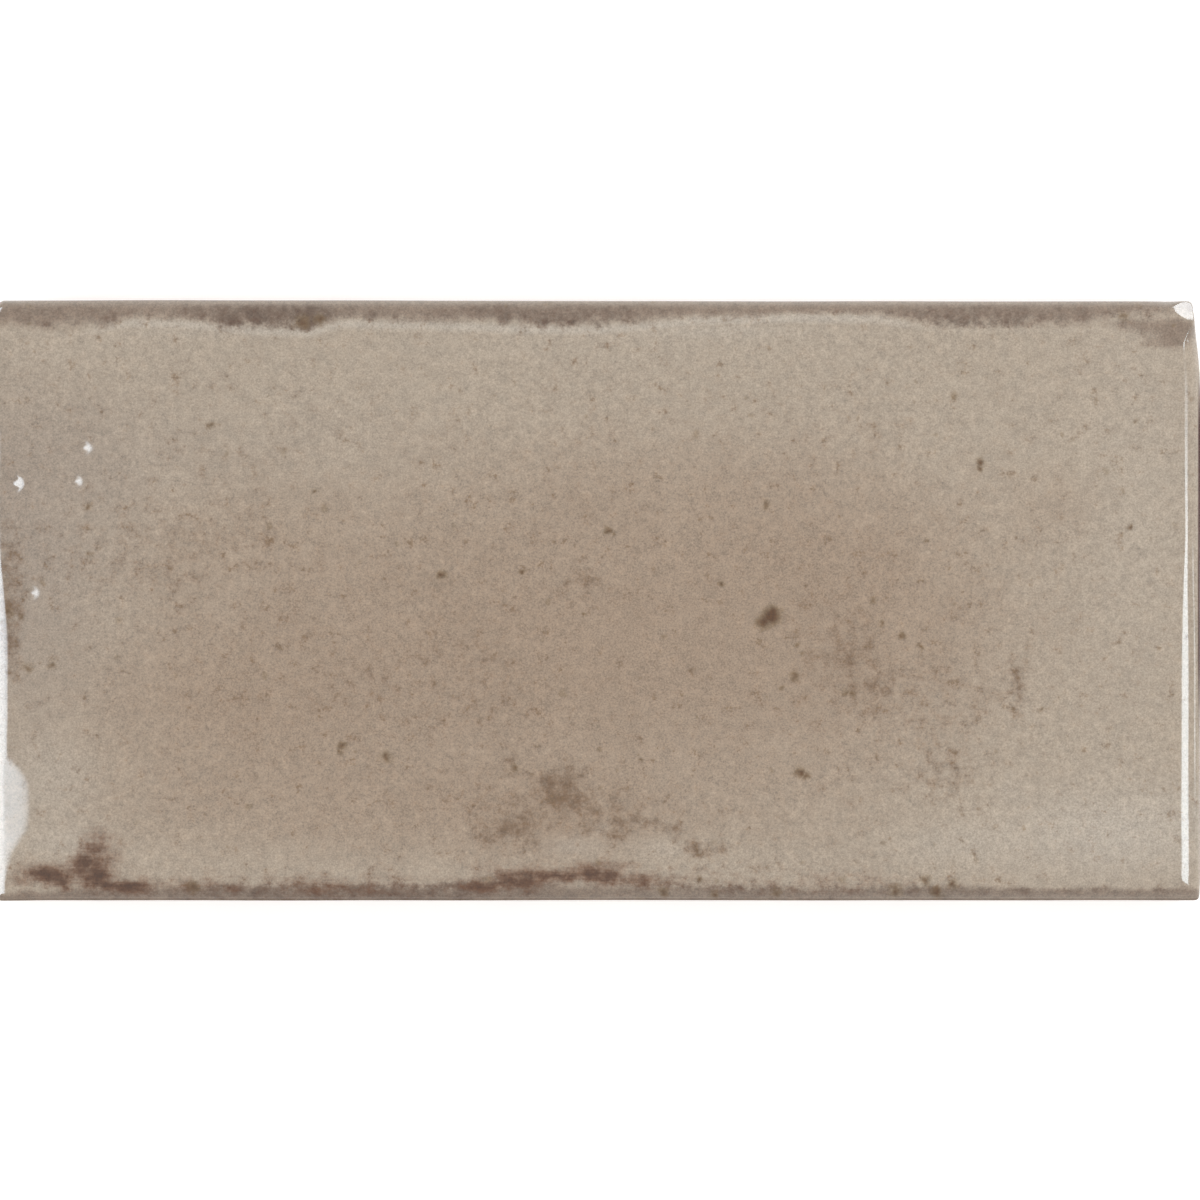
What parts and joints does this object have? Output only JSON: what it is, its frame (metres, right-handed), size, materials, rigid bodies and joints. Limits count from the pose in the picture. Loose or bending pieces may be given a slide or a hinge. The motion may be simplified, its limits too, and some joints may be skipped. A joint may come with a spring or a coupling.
{
  "type": "ceramic wall tile",
  "caption": "Rectangular glazed ceramic wall tile, twice as long as wide, with a gently waved glossy face, rolled edges and a ribbed back.",
  "frame": {"origin": "centre of the back's bedding plane, under the middle of the tile", "axes": "+X along the tile's length, +Y across its width towards the top of the picture, +Z out of the glazed face"},
  "size_m": [0.15, 0.075, 0.0085],
  "materials": {
    "glaze": "glossy translucent taupe glaze with brown specks and darker rims over a red clay body, unglazed on the back"
  },
  "bodies": {
    "root": {"tile": "glaze"}
  },
  "joints": []
}
